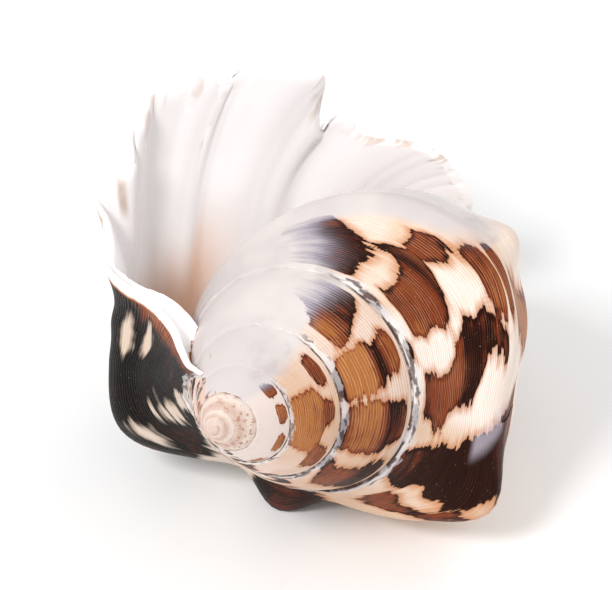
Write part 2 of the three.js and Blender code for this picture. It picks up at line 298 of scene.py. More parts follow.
spire_steps = round(FIRST_WHOLE * STEPS)
spire = grown_grid("spire", np.arange(spire_steps + 1) / STEPS, FACE, spire_place)
body = grown_grid("body", FIRST_WHOLE + np.arange(STEPS + 1) / STEPS, DOWN, body_place)
print("spire:", len(spire.data.vertices), "corners, body whorl:", len(body.data.vertices))

# %% [markdown]
# ## One closed coil
# The spire and the body whorl share their edges, so joining them and merging doubles makes one skin. It
# is open at the nucleus, at the foot of the columella and deep in the aperture, and each opening is
# filled with a face to close it; the cap at the nucleus is poked later.

# %% Join the spire and the body whorl and close them
pick(body, spire)
bpy.ops.object.join()
coil = body
coil.name = "grown_shell"
coil.data.name = "grown_shell"
bpy.ops.object.mode_set(mode="EDIT")
bpy.ops.mesh.select_all(action="SELECT")
bpy.ops.mesh.remove_doubles(threshold=0.004)
bpy.ops.mesh.select_all(action="DESELECT")
bpy.ops.mesh.select_mode(type="EDGE")
bpy.ops.mesh.select_non_manifold(extend=False, use_wire=False, use_multi_face=False,
                                 use_non_contiguous=False, use_verts=False)
bpy.ops.mesh.edge_face_add()
bpy.ops.mesh.select_all(action="SELECT")
bpy.ops.mesh.normals_make_consistent(inside=False)
bpy.ops.object.mode_set(mode="OBJECT")
caps = sum(len(p.vertices) > 4 for p in coil.data.polygons)
print("coil:", len(coil.data.vertices), "corners,", caps, "caps")

# %% [markdown]
# ## The flaring lip
# The last half turn is a wall only a few millimetres thick. Its outside is another grown grid, and the
# Solidify modifier gives it its thickness inwards, with a vertex group to say where it is thicker. Its
# top row sinks into the spire and its first column into the body whorl, so a Boolean can join them.
# Towards the rim both sides draw together, which rounds the edge better than a bevel on so ragged a line.
# Between the suture and the shoulder the rim is rolled into a thick white band, so the wall is thickest
# there.

# %% The outside of the last half turn
LIP_DOWN = np.linspace(0, 1, 200)
GROWN = np.concatenate([[-0.03], 1 - (1 - np.linspace(0, 1, 88)) ** 1.6])


def lip_place(grown, down):
    """The wall's outside: the row below zero is its root, sunk into the spire."""
    g, d = np.clip(grown, 0, 1), np.clip(down, 0, 1)
    place = lip(g, d)
    outline = sutured(place[..., :2], place[..., 2], d)
    radius, height, turn = outline[..., 0], outline[..., 1], place[..., 2]
    turn = turn + np.where(grown < 0, grown * 0.6, 0)
    root = down < 0
    radius = np.where(root, radius - ROOT_INWARD, radius)
    height = np.where(root, height - ROOT_DOWN, height)
    sink = np.where(grown < 0, 1.2, 0)
    return around_axis(radius - sink, height, turn), turn, d


wall = grown_grid("wall", GROWN, np.concatenate([[-0.02], LIP_DOWN]), lip_place)
print("outside of the lip:", len(wall.data.vertices), "corners")


# %% Turn and place down of every corner
def growth_of(piece):
    """Turn and place down of each corner of a piece, read from its UV map."""
    uv = np.empty(len(piece.data.loops) * 2)
    piece.data.uv_layers["growth"].data.foreach_get("uv", uv)
    corner = np.empty(len(piece.data.loops), int)
    piece.data.loops.foreach_get("vertex_index", corner)
    turn, down = np.empty(len(piece.data.vertices)), np.empty(len(piece.data.vertices))
    turn[corner], down[corner] = uv[0::2], uv[1::2]
    return turn, down


turn_at, down_at = growth_of(wall)
rim_turn = rim_at(down_at)[:, 1]
grown_at = np.clip((turn_at - BODY_END) / (rim_turn - BODY_END), 0, 1)
thick = WALL + grown_at ** 4 * (through(RIM_WALL, down_at)[:, 0] - WALL)
rounding = np.sqrt(1 - np.clip((grown_at - 0.986) / 0.0145, 0, 1) ** 2)
folded = np.clip(1 - np.abs(down_at - 0.11) / 0.19, 0, 1) ** 0.5
fold = folded * np.exp(-((grown_at - 0.99) / 0.035) ** 2)
outward = np.array([v.normal for v in wall.data.vertices])
corners = np.array([v.co for v in wall.data.vertices])
corners -= outward * (thick * (1 - rounding) * 0.5)[:, None]
thick = thick + 4.8 * fold
wall.data.vertices.foreach_set("co", corners.astype(np.float32).ravel())
thick = thick * rounding
print("wall from", round(float(thick.min()), 2), "to", round(float(thick.max()), 2), "mm thick")

# %% Give the wall its thickness
group = wall.vertex_groups.new(name="thickness")
for k, amount in enumerate(thick / thick.max()):
    group.add([k], float(amount), "REPLACE")
pick(wall)
solidify = wall.modifiers.new("thickness", "SOLIDIFY")
solidify.thickness = float(thick.max())
solidify.offset = -1
solidify.vertex_group = "thickness"
solidify.use_rim = True
outside_corners = len(wall.data.vertices)
bpy.ops.object.modifier_apply(modifier="thickness")
lining = wall.data.attributes.new("lining", "FLOAT", "POINT")
lined = np.ones(len(wall.data.vertices))
edge_width = 0.01 + 0.008 * folded + 0.022 * np.clip((down_at - 0.42) / 0.08, 0, 1)
lined[:outside_corners] = np.clip((grown_at - 1 + edge_width) / 0.01 + 0.5, 0, 1)
lining.data.foreach_set("value", lined)
wall.vertex_groups.clear()
print("wall:", len(wall.data.vertices), "corners,", int(lined.sum()), "on the lining")

# %% [markdown]
# ## One grown piece
# The nucleus at the apex is a tiny dome: its cap is poked and the new corner raised. A Boolean union
# then joins the wall to the coil. The shell is laid on its back, and where its lowest knobs would go
# under the surface it lies on, they are worn flat by a bisect that fills its cut.

# %% Round the nucleus
pick(coil)
bpy.ops.object.mode_set(mode="EDIT")
bpy.ops.mesh.select_mode(type="FACE")
bpy.ops.mesh.select_all(action="DESELECT")
bpy.ops.object.mode_set(mode="OBJECT")
for face in coil.data.polygons:
    face.select = len(face.vertices) > 4 and face.center.z > -5
bpy.ops.object.mode_set(mode="EDIT")
bpy.ops.mesh.poke()
bpy.ops.object.mode_set(mode="OBJECT")
middle = min((v for v in coil.data.vertices if v.select), key=lambda v: math.hypot(v.co.x, v.co.y))
middle.co = (0, 0, 0.3)
print("nucleus has", sum(f.select for f in coil.data.polygons), "faces")

# %% Join the wall to the coil
coil.data.attributes.new("lining", "FLOAT", "POINT")
pick(coil)
union = coil.modifiers.new("grown together", "BOOLEAN")
union.operation = "UNION"
union.solver = "MANIFOLD"
union.object = wall
bpy.ops.object.modifier_apply(modifier="grown together")
bpy.data.objects.remove(wall)
print("shell:", len(coil.data.vertices), "corners,", len(coil.data.polygons), "faces")

# %% Lay it on its back and wear its resting spots flat
shell = coil
shell.data.transform(LAID)
pick(shell)
bpy.ops.object.mode_set(mode="EDIT")
bpy.ops.mesh.select_all(action="SELECT")
bpy.ops.mesh.bisect(plane_co=(0, 0, 0), plane_no=(0, 0, -1), clear_outer=True, use_fill=True,
                    threshold=1e-6)
bpy.ops.mesh.select_all(action="SELECT")
bpy.ops.transform.resize(value=(0.9975, 0.9975, 0.9975), center_override=(0, 0, 0))
bpy.ops.mesh.select_all(action="DESELECT")
bpy.ops.object.mode_set(mode="OBJECT")
print("lowest point:", round(min(v.co.z for v in shell.data.vertices) * 1000, 3), "mm")

# %% [markdown]
# ## Where the colours lie
# A living shell paints at its lip as it grows: pigment cells that stay on draw long flames across the
# growth, and glaze is poured over the finished whorls next to the aperture. An image could show this,
# but it would not follow the growth; here each flame is a short list of places down the whorl with the
# turns it spans, and what no side of the view shows is filled with flames of the same rhythm. A few
# slanting cream streaks break the darkest flame. All are stored as smooth fields on the mesh, and the
# material cuts them sharp.

# %% Flames: place down the whorl, first turn, last turn, darkness
FLAMES = [
    [(0.03, 5.85, 5.925, 0.6), (0.06, 5.83, 5.932, 0.7), (0.12, 5.82, 5.931, 0.7), (0.15, 5.825, 5.915, 0.85),
     (0.18, 5.82, 5.897, 0.8), (0.205, 5.815, 5.885, 0.6), (0.23, 5.815, 5.86, 0.5)],
    [(0.045, 5.97, 6.035, 0.45), (0.06, 5.966, 6.042, 0.4), (0.1, 5.968, 6.038, 0.4),
     (0.14, 5.96, 6.04, 0.5), (0.155, 5.932, 6.02, 0.75), (0.168, 5.936, 5.998, 0.7),
     (0.178, 5.945, 5.97, 0.5),
     (0.2, 5.95, 5.978, 0.4), (0.22, 5.949, 5.986, 0.45), (0.242, 5.95, 5.972, 0.5),
     (0.25, 5.955, 5.96, 0.5)],
    [(0.05, 6.085, 6.137, 0.6), (0.07, 6.08, 6.14, 0.5), (0.085, 6.088, 6.156, 0.45),
     (0.12, 6.085, 6.152, 0.4),
     (0.14, 6.082, 6.126, 0.4), (0.165, 6.05, 6.124, 0.5), (0.18, 6.036, 6.124, 0.85),
     (0.208, 6.04, 6.118, 0.9),
     (0.222, 6.05, 6.09, 0.8), (0.24, 6.03, 6.07, 0.7), (0.262, 6.045, 6.074, 0.7),
     (0.29, 6.064, 6.078, 0.6)],
    [(0.02, 6.19, 6.23, 0.7), (0.06, 6.175, 6.244, 0.7), (0.1, 6.175, 6.246, 0.8), (0.14, 6.17, 6.22, 0.85),
     (0.18, 6.165, 6.232, 1.0), (0.24, 6.15, 6.228, 1.0), (0.275, 6.14, 6.202, 0.95),
     (0.34, 6.13, 6.195, 0.7),
     (0.42, 6.12, 6.18, 0.6)],
    [(0.1, 6.262, 6.28, 0.3), (0.15, 6.252, 6.3, 0.4), (0.2, 6.262, 6.29, 0.4), (0.3, 6.232, 6.246, 0.5),
     (0.42, 6.23, 6.25, 0.5)],
    [(0.0, 6.345, 6.4, 0.7), (0.1, 6.35, 6.405, 0.8), (0.2, 6.35, 6.425, 0.8), (0.3, 6.345, 6.43, 0.8),
     (0.45, 6.34, 6.42, 0.8), (0.62, 6.33, 6.41, 0.8)],
    [(0.01, 6.53, 6.68, 0.9), (0.06, 6.5, 6.69, 1.0), (0.16, 6.475, 6.69, 1.0), (0.3, 6.47, 6.68, 1.0),
     (0.45, 6.49, 6.66, 1.0), (0.64, 6.5, 6.72, 1.0)],
    [(0.25, 6.23, 6.238, 0.3), (0.27, 6.222, 6.24, 0.4), (0.3, 6.215, 6.235, 0.4)],
    [(0.256, 5.975, 6.035, 0.3), (0.262, 5.98, 6.03, 0.4), (0.268, 5.985, 6.02, 0.3)],
    [(0.278, 5.98, 6.045, 0.3), (0.287, 5.985, 6.05, 0.45), (0.296, 5.99, 6.045, 0.3)],
    [(0.304, 5.99, 6.04, 0.3), (0.315, 5.985, 6.055, 0.45), (0.326, 5.99, 6.05, 0.3)],
    [(0.34, 6.02, 6.06, 0.1), (0.4, 6.035, 6.085, 0.15), (0.5, 6.04, 6.1, 0.2)],
    [(0.0, 5.955, 5.985, 0.6), (0.014, 5.95, 5.985, 0.7), (0.022, 5.96, 5.975, 0.6)],
    [(0.008, 6.035, 6.06, 0.7), (0.02, 6.03, 6.065, 0.8), (0.032, 6.045, 6.06, 0.7)],
    [(0.0, 6.12, 6.15, 0.6), (0.018, 6.115, 6.155, 0.7), (0.028, 6.13, 6.15, 0.6)],
    [(0.07, 4.94, 4.998, 0.3), (0.11, 4.92, 4.999, 0.4), (0.15, 4.9, 4.992, 0.6), (0.2, 4.87, 4.975, 0.85),
     (0.25, 4.865, 4.968, 0.8), (0.28, 4.88, 4.955, 0.6)],
    [(0.0, 5.03, 5.085, 0.8), (0.025, 5.025, 5.09, 0.9), (0.04, 5.012, 5.092, 0.15),
     (0.1, 5.012, 5.094, 0.05),
     (0.16, 5.01, 5.09, 0.12), (0.185, 5.015, 5.084, 0.9), (0.21, 5.02, 5.074, 0.9),
     (0.225, 5.01, 5.07, 0.45),
     (0.27, 5.008, 5.065, 0.45), (0.283, 5.01, 5.055, 0.5)],
    [(0.0, 5.13, 5.18, 0.8), (0.025, 5.12, 5.185, 0.9), (0.04, 5.105, 5.192, 0.2), (0.12, 5.1, 5.196, 0.1),
     (0.18, 5.105, 5.196, 0.3), (0.2, 5.11, 5.19, 0.9), (0.24, 5.11, 5.18, 0.85), (0.28, 5.115, 5.172, 0.5)],
    [(0.0, 5.21, 5.245, 0.8), (0.03, 5.215, 5.25, 0.7), (0.08, 5.23, 5.29, 0.3), (0.18, 5.225, 5.295, 0.3),
     (0.22, 5.21, 5.285, 0.8), (0.28, 5.21, 5.28, 0.8)],
    [(0.19, 3.975, 4.045, 0.5), (0.25, 3.975, 4.045, 0.5), (0.27, 3.99, 4.04, 0.5)],
    [(0.02, 4.05, 4.19, 0.0), (0.1, 4.045, 4.2, 0.0), (0.17, 4.045, 4.2, 0.0), (0.192, 4.06, 4.15, 0.1)],
    [(0.19, 4.078, 4.14, 0.25), (0.22, 4.08, 4.14, 0.35), (0.27, 4.082, 4.12, 0.3)],
    [(0.18, 4.18, 4.25, 0.3), (0.23, 4.185, 4.25, 0.4), (0.28, 4.2, 4.24, 0.4)],
    [(0.19, 3.05, 3.11, 0.1), (0.24, 3.045, 3.12, 0.2), (0.285, 3.06, 3.1, 0.2)],
    [(0.2, 3.16, 3.22, 0.1), (0.24, 3.15, 3.23, 0.15), (0.28, 3.165, 3.215, 0.2)],
    [(0.17, 2.97, 3.015, 0.2), (0.22, 2.96, 3.02, 0.3), (0.28, 2.98, 3.01, 0.3)],
    [(0.1, 2.87, 2.91, 0.2), (0.2, 2.86, 2.92, 0.2), (0.27, 2.88, 2.92, 0.3)],
    [(0.21, 3.28, 3.32, 0.1), (0.28, 3.27, 3.33, 0.2)],
]
STREAKS = [
    (6.532, 0.12, 0.014, 0.045), (6.548, 0.05, 0.014, 0.02), (6.618, 0.205, 0.024, 0.014),
    (6.612, 0.25, 0.013, 0.011), (6.515, 0.245, 0.012, 0.016),
]
SHOWN = [(5.8, 6.33, 0.0, 0.5), (6.3, 6.75, 0.0, 0.5), (4.8, 5.33, 0.0, 0.3), (3.8, 4.33, 0.0, 0.3),
         (2.8, 3.35, 0.0, 0.3)]


def inside_flames(turn, down):
    """How far inside a flame each place lies, in turns (negative outside), and how dark it is there."""
    field = np.full(turn.shape, -0.05)
    dark = np.zeros(turn.shape)
    for rows in FLAMES:
        band = through(rows, down)
        ends = np.minimum(down - rows[0][0], rows[-1][0] - down) * 3 + 0.004
        here = np.minimum(np.minimum(turn - band[..., 0], band[..., 1] - turn), ends)
        dark = np.where(here > field, band[..., 2], dark)
        field = np.maximum(field, here)
    return field, np.clip(dark, 0, 1)


def same_rhythm(turn, down):
    """Flames of the same rhythm for the sides that the view does not show."""
    zigzag = 0.018 * np.sin(down * 21 + np.floor(turn / 0.1) * 2.4) + 0.012 * np.sin(down * 57 + turn * 9)
    phase = (turn + zigzag) / 0.1
    wide = 0.022 + 0.012 * np.sin(down * 33 + np.floor(phase) * 4.1)
    field = wide - np.abs(phase - np.floor(phase) - 0.5) * 0.1
    breaks = np.sin(down * 40 + 3 * np.sin(turn * 5)) - 0.75
    field = np.minimum(field, 0.03 - np.maximum(breaks, 0) * 0.3)
    field = field + 0.019 * np.clip((turn - 6.3) / 0.15, 0, 1)
    dark = 0.55 + 0.35 * np.sin(down * 25 + turn * 13) + 0.3 * np.clip((turn - 6.3) / 0.15, 0, 1)
    return field, np.clip(dark, 0, 1)


turn_at, down_at = growth_of(shell)
flame, dark = inside_flames(turn_at, down_at)
rhythm, rhythm_dark = same_rhythm(turn_at, down_at)
shown = np.zeros(len(turn_at))
for first, last, top, bottom in SHOWN:
    edge = np.minimum(np.minimum(turn_at - first, last - turn_at) / 0.02, (bottom - down_at) / 0.1 + 1)
    shown = np.maximum(shown, np.clip(edge, 0, 1))
flame = shown * flame + (1 - shown) * rhythm
dark = shown * dark + (1 - shown) * rhythm_dark
for turn, down, wide, tall in STREAKS:
    streak = 1 - np.hypot((turn_at - turn - (down_at - down) * 0.1) / wide, (down_at - down) / tall)
    flame = np.minimum(flame, -streak * wide * 0.6)
dark = dark + 0.05 * np.clip((turn_at - 5.156) * 20, 0, 1)
red_edge = np.clip((turn_at - 6.625) / 0.03, 0, 1) * np.clip((0.27 - down_at) / 0.06, 0, 1)
dark = np.clip(dark - 0.62 * red_edge, 0, 1)
print("share of the shell in a flame:", round(float((flame > 0).mean()), 2))

# %% Glaze over the spire and the inner lip, and the inside of the aperture
GLAZE_EDGE = [(0.0, 5.91), (0.1, 5.9), (0.18, 5.875), (0.22, 5.88), (0.25, 5.955), (0.3, 5.985),
              (0.36, 5.995), (0.45, 5.985), (0.6, 5.97), (0.8, 5.95), (1.0, 5.9)]
SPIRE_EDGE = [(0.0, 1.02), (2.9, 0.985), (3.9, 0.965), (4.6, 0.955), (5.0, 0.945), (5.156, 0.93)]

own = np.array(LAID.inverted())
corners = np.array([v.co for v in shell.data.vertices])
grown = corners @ own[:3, :3].T + own[:3, 3]
radius_at = np.hypot(grown[:, 0], grown[:, 1])
part_turn = (-np.arctan2(grown[:, 1], grown[:, 0]) / (2 * math.pi)) % 1
lined = np.empty(len(corners))
shell.data.attributes["lining"].data.foreach_get("value", lined)
on_wall = turn_at > BODY_END + 0.002
body_edge = through(GLAZE_EDGE, down_at)[:, 0] - 5
edge = np.where(turn_at > FIRST_WHOLE, body_edge, through(SPIRE_EDGE, turn_at)[:, 0])
past_lip = np.where(part_turn > 0.5, edge - part_turn, -1)
past_lip = np.where((part_turn < 0.1) & (edge > 1), edge - 1 - part_turn, past_lip)
under_lip = (part_turn > 0.15) & (part_turn < 0.72)
attached = suture(np.clip(part_turn + 6, 6.0, 6.72))[:, 0]
glaze = np.where(past_lip > -0.5, past_lip, -0.2)
glaze = np.where(under_lip, np.where(radius_at > attached - 0.4, 0.2, -0.2), glaze)
glaze = np.where((part_turn > 0.715) & (radius_at < 8.5), np.minimum(glaze, (radius_at - 7.5) * 0.05), glaze)
glaze = np.where(on_wall | (turn_at > 6.0), -0.2, glaze)
deep = np.clip((turn_at - BODY_END) / (rim_at(down_at)[:, 1] - BODY_END), 0, 1)
for name, field in (("flames", flame), ("darkness", dark), ("glazing", glaze), ("depth_in", deep)):
    shell.data.attributes.new(name, "FLOAT", "POINT").data.foreach_set("value", field.astype(np.float32))
print("glazed:", round(float((glaze > 0).mean()), 2), "lined:", round(float((lined > 0.5).mean()), 2))

# %% [markdown]
# ## The view
# The camera looks along +Y and 38 degrees down, from far off with a long lens, as the photographed
# view does. Its place is given by the shell's apex, and only the lens has to fit the frame.

# %% Camera
let_go()
apex = LAID.translation
TILT = math.radians(52)
ASIDE, ABOVE, AWAY = 0.02510, 0.03495, 0.572
SENSOR_WIDTH = 36
FRAME_WIDTH, METRES_A_PIXEL = 612, 0.00026
to_right, to_up = Vector((1, 0, 0)), Vector((0, math.cos(TILT), math.sin(TILT)))
to_eye = Vector((0, -math.sin(TILT), math.cos(TILT)))
bpy.ops.object.camera_add(location=apex + ASIDE * to_right + ABOVE * to_up + AWAY * to_eye,
                          rotation=(TILT, 0, 0))
camera = bpy.context.object
camera.name = "camera"
camera.data.sensor_fit = "HORIZONTAL"
camera.data.sensor_width = SENSOR_WIDTH
camera.data.lens = SENSOR_WIDTH * AWAY / (FRAME_WIDTH * METRES_A_PIXEL)
camera.data.clip_start = 0.01
bpy.context.scene.camera = camera
print("lens:", round(camera.data.lens, 1), "mm")

# %% Floor
bpy.ops.mesh.primitive_plane_add(size=6, location=(0, 0, -0.0002))
floor = bpy.context.object
floor.name = "floor"

# %% [markdown]
# ## Shader sums
# Shader maths reads better as sums than as boxes and wires, so one small class wraps a socket: adding
# or multiplying it adds the Math node. One method makes every other kind of node.

# %% Sums on sockets
class Wire:
    """A value that changes over the surface."""

    def __init__(self, paint, socket):
        self.paint, self.socket = paint, socket

    def sum(self, operation, *others):
        return self.paint.node("ShaderNodeMath", {"operation": operation}, dict(enumerate(others)))

    def __add__(self, other):
        return self.sum("ADD", self, other)

    def __radd__(self, other):
        return self.sum("ADD", other, self)

    def __sub__(self, other):
        return self.sum("SUBTRACT", self, other)

    def __rsub__(self, other):
        return self.sum("SUBTRACT", other, self)

    def __mul__(self, other):
        return self.sum("MULTIPLY", self, other)

    def __rmul__(self, other):
        return self.sum("MULTIPLY", other, self)

    def __pow__(self, other):
        return self.sum("POWER", self, other)

    def floor(self):
        return self.sum("FLOOR", self)

    def sine(self):
        return self.sum("SINE", self)

    def most(self, other):
        return self.sum("MAXIMUM", self, other)

    def between(self, low, high, to_low=0.0, to_high=1.0):
        """A soft step from to_low to to_high as this value goes from low to high."""
        return self.paint.node("ShaderNodeMapRange", {"interpolation_type": "SMOOTHSTEP"},
                               {0: self, 1: low, 2: high, 3: to_low, 4: to_high})


class Paint:
    """A material's node tree."""

    def __init__(self, name):
        self.material = bpy.data.materials.new(name)
        self.material.use_nodes = True
        self.tree = self.material.node_tree
        self.tree.nodes.clear()

    def node(self, kind, settings, values, output=0):
        """A node of a kind with its settings made first, then its values or links."""
        made = self.tree.nodes.new(kind)
        for key, value in settings.items():
            setattr(made, key, value)
        for key, value in values.items():
            if isinstance(value, Wire):
                self.tree.links.new(value.socket, made.inputs[key])
            else:
                made.inputs[key].default_value = value
        return Wire(self, made.outputs[output])

    def field(self, name):
        return self.node("ShaderNodeAttribute", {"attribute_name": name}, {}, "Fac")

    def mix(self, share, first, second):
        return self.node("ShaderNodeMix", {"data_type": "RGBA"}, {0: share, 6: first, 7: second}, 2)

    def noise(self, at, scale, detail=3.0, rough=0.55, flat=False):
        return self.node("ShaderNodeTexNoise", {"noise_dimensions": "2D" if flat else "3D"},
                         {"Vector": at, "Scale": scale, "Detail": detail, "Roughness": rough}, "Fac")

    def place(self, x, y, z=0.0):
        return self.node("ShaderNodeCombineXYZ", {}, {0: x, 1: y, 2: z})

    def parts(self, at):
        return [self.node("ShaderNodeSeparateXYZ", {}, {0: at}, axis) for axis in (0, 1)]

    def finish(self, piece, values):
        """Ends the tree with one Principled surface and puts the material on a piece."""
        skin = self.node("ShaderNodeBsdfPrincipled", {}, values, "BSDF")
        end = self.tree.nodes.new("ShaderNodeOutputMaterial")
        self.tree.links.new(skin.socket, end.inputs["Surface"])
        piece.data.materials.clear()
        piece.data.materials.append(self.material)


def tone(text):
    """A colour as seen on a screen, such as e8d5bd, for a socket."""
    seen = [int(text[i:i + 2], 16) / 255 for i in (0, 2, 4)]
    return tuple(c / 12.92 if c <= 0.04045 else ((c + 0.055) / 1.055) ** 2.4 for c in seen) + (1.0,)


print("cream as the shader reads it:", [round(c, 3) for c in tone("ecd9c0")])

# %% [markdown]
# ## The threads
# Fine spiral threads run round the whole outside, and new ones are put between the old as the whorls
# grow. They are too fine to model, so a wave across the whorl stands for them: a bump raises it, and it
# draws the light lines in the brown. A picture would blur here; a wave stays sharp at any distance.

# %% Threads, and the noises that everything shares
paint = Paint("shell")
turn_w, down_w = paint.parts(paint.node("ShaderNodeUVMap", {"uv_map": "growth"}, {}))
here = paint.node("ShaderNodeTexCoord", {}, {}, "Object")
flame_w, dark_w, glaze_w, lining_w, deep_w = (
    paint.field(name) for name in ("flames", "darkness", "glazing", "lining", "depth_in"))
cloudy = paint.noise(here, 22, 3)
blotchy = paint.noise(here, 75, 4)
fine = paint.noise(here, 420, 3)
THREADS = 84
waver = paint.noise(paint.place(turn_w * 22, down_w * 30), 1.0, 2, flat=True)
old = down_w * THREADS + waver * 0.8
new = old * 2
body_share = turn_w.between(5.12, 5.3)
wave = (((old * (2 * math.pi)).sine() * 0.5 + 0.5) * (1 - body_share)
        + ((new * (2 * math.pi)).sine() * 0.5 + 0.5) * body_share)
print("threads across a whorl:", THREADS, "growing to", 2 * THREADS)

# %% [markdown]
# ## Flames on cream
# Flames end in steps from thread to thread, because each thread is painted on its own. Their margins
# are the darkest, the middle of a pale flame is amber, and a thin orange stain runs out into the cream.

# %% Flame edges
thread_step = paint.noise(paint.place(turn_w * 8, old.floor() * 3.7), 1.0, 1, flat=True)
fine_step = paint.noise(paint.place(turn_w * 16, new.floor() * 5.3), 1.0, 1, flat=True)
bay = paint.noise(paint.place(turn_w * 26, down_w * 17), 1.0, 2, flat=True)
ragged = flame_w + (thread_step - 0.5) * 0.018 + (fine_step - 0.5) * 0.012 + (bay - 0.5) * 0.02
softness = turn_w.between(6.38, 6.45, 0.0012, 0.0045)
brown = ragged.between(0 - softness, softness)
halo = ragged.between(-0.014, 0.001)
margin = ragged.between(0.001, 0.011, 1.0, 0.0)

# %% Brown and cream
along = paint.noise(paint.place(turn_w * 14, down_w * 60), 1.0, 3, flat=True)
depth = dark_w + margin * 0.3 + (blotchy - 0.5) * 0.7 + (along - 0.5) * 0.9 + (cloudy - 0.5) * 0.9 - 0.07
amber = paint.mix(depth.between(-0.05, 0.35), tone("b06e3a"), tone("7a3519"))
maroon = paint.mix(depth.between(0.35, 0.75), amber, tone("3d150d"))
darkest = paint.mix(turn_w.between(6.33, 6.45), tone("260d07"), tone("0d0908"))
black_brown = paint.mix(depth.between(0.6, 0.88), maroon, darkest)
line_share = (wave ** 6) * along.between(0.38, 0.62, 0.15, 1.0) * depth.between(0.1, 0.95, 0.8, 0.03)
brown_coat = paint.mix(line_share, black_brown, tone("dba883"))
cream = paint.mix(cloudy.between(0.4, 0.62), tone("faece2"), tone("e3c3a9"))
cream = paint.mix(blotchy.between(0.56, 0.72) * 0.4, cream, tone("dbb08f"))
cream = paint.mix(turn_w.between(5.5, 5.8, 0.45, 0.0), cream, tone("d3ab93"))
cream = paint.mix(turn_w.between(6.4, 6.45) * 0.7, cream, tone("cdc3b6"))
cream = paint.mix((wave ** 4) * along.between(0.35, 0.65, 0.25, 0.6), cream, tone("c79c79"))
cream = paint.mix(halo * turn_w.between(6.35, 6.45, 0.75, 0.1), cream, tone("c47b45"))
outside = paint.mix(brown, cream, brown_coat)
print("brown and cream:", len(paint.tree.nodes), "nodes so far")

# %% [markdown]
# ## Suture and spire tip
# Beside each suture runs a crinkled white cord with grey-brown spots, and a thin dark line of painted
# shade lies in the groove. The first whorls are worn: pinkish tan with pale rings and orange specks.

# %% White cord along the suture
crinkle = paint.noise(paint.place(turn_w * 34, down_w * 25), 1.0, 3, flat=True)
cord_edge = down_w + (crinkle - 0.5) * 0.05
cord = cord_edge.between(0.024, 0.03, 1.0, 0.0) * turn_w.between(3.2, 4.2, 0.4, 1.0)
spots = paint.noise(paint.place(turn_w * 30, down_w * 36), 1.0, 3, flat=True).between(0.52, 0.62)
cord_coat = paint.mix(cloudy.between(0.4, 0.6), tone("efe8e4"), tone("cfc8cc"))
cord_coat = paint.mix(spots * 0.85, cord_coat, tone("4d3a36"))
outside = paint.mix(cord * (1 - brown * 0.35) * body_share.between(0, 1, 0.75, 0.95), outside, cord_coat)
# A thin dark line of painted shade in the suture groove, broken by the crinkle.
groove_shade = (down_w + (crinkle - 0.5) * 0.008).between(0.004, 0.008, 1.0, 0.0)
outside = paint.mix(groove_shade * crinkle.between(0.35, 0.55, 0.3, 0.95), outside, tone("4a372e"))

# %% The worn tip
tip = turn_w.between(2.2, 2.85, 1.0, 0.0)
rings = ((down_w * 22).sine() * 0.5 + 0.5)
tip_coat = paint.mix(rings * 0.6 + (fine - 0.5) * 0.8, tone("e9d8cc"), tone("bd9684"))
tip_specks = paint.noise(here, 900, 2).between(0.56, 0.62) * turn_w.between(1.5, 2.3)
tip_coat = paint.mix(tip_specks * 0.8, tip_coat, tone("a8622f"))
outside = paint.mix(tip * 0.95, outside, tip_coat)
pale = turn_w.between(2.5, 3.0) * turn_w.between(3.4, 4.1, 1.0, 0.0) * (1 - brown)
outside = paint.mix(pale * 0.75, outside, tone("e6dad5"))
scar_at = turn_w + down_w * 0.35
scar = scar_at.between(6.222, 6.234) * scar_at.between(6.245, 6.262, 1.0, 0.0) * (
    down_w.between(0.215, 0.235) * down_w.between(0.3, 0.325, 1.0, 0.0) * blotchy.between(0.4, 0.5, 0.2, 1.0))
outside = paint.mix(scar * 0.5, outside, tone("cfc3d0"))
specks = paint.noise(here, 2600, 1).between(0.74, 0.79)
outside = paint.mix(specks * 0.4, outside, tone("e9e4dc"))
print("outside:", len(paint.tree.nodes), "nodes so far")

# %% [markdown]
# ## Glaze
# The animal poured milky porcelain over the finished whorls beside the aperture. It is thin at its edge,
# so the brown beneath shows through it purple-grey, which is milk over dark; a see-through layer could do
# this too, but mixing by the thickness of the glaze needs no second surface.

# %% Milky glaze
glazed = glaze_w + (blotchy - 0.5) * 0.04 + (cloudy - 0.5) * 0.08
covered = glazed.between(-0.02, 0.03)
milk = paint.mix(cloudy.between(0.38, 0.62), tone("dfd7d3"), tone("cec5c3"))
milk = paint.mix(blotchy.between(0.56, 0.7) * glazed.between(0.03, 0.16, 0.55, 0.15), milk, tone("b8adac"))
under = brown * (glazed + (along - 0.5) * 0.06).between(0.005, 0.075, 0.92, 0.0)
under_coat = paint.mix(glazed.between(-0.01, 0.035), tone("35222e"), tone("7d758c"))
milk = paint.mix(under * wave.between(0.7, 1.0, 1.0, 0.6), milk, under_coat)
coat = paint.mix(covered, outside, milk)

# %% [markdown]
# ## The lining of the aperture
# The inside of the lip is the same porcelain, fluted softly towards the rim, with faint stripes of painted
# shade along the flutes and soft blotches of painted grey shade. Deep inside it is orange-tan, partly its own
# colour and partly painted shade, then dark brown painted shade further in, and a little painted shade
# greys it towards the rim.
# The rim is white, with a thin orange line where it meets the brown outside.

# %% Porcelain lining
fluted = paint.noise(paint.place(down_w * 15, turn_w * 2.0), 1.0, 2, flat=True)
# Faint stripes of painted shade along the flutes.
porcelain = paint.mix(fluted.between(0.35, 0.7), tone("fdfafa"), tone("f8f4f3"))
shade = paint.noise(here, 30, 2).between(0.45, 0.7)
porcelain = paint.mix(shade * 0.15, porcelain, tone("ddd5da"))
# Orange-tan deep inside: partly the shell's own colour, partly painted shade of the deep aperture.
tan_and_shade = (deep_w + (fluted - 0.5) * 0.12).between(0.87, 0.74)
porcelain = paint.mix(tan_and_shade * down_w.between(0.61, 0.7, 0.75, 0.0), porcelain, tone("dc9f6c"))
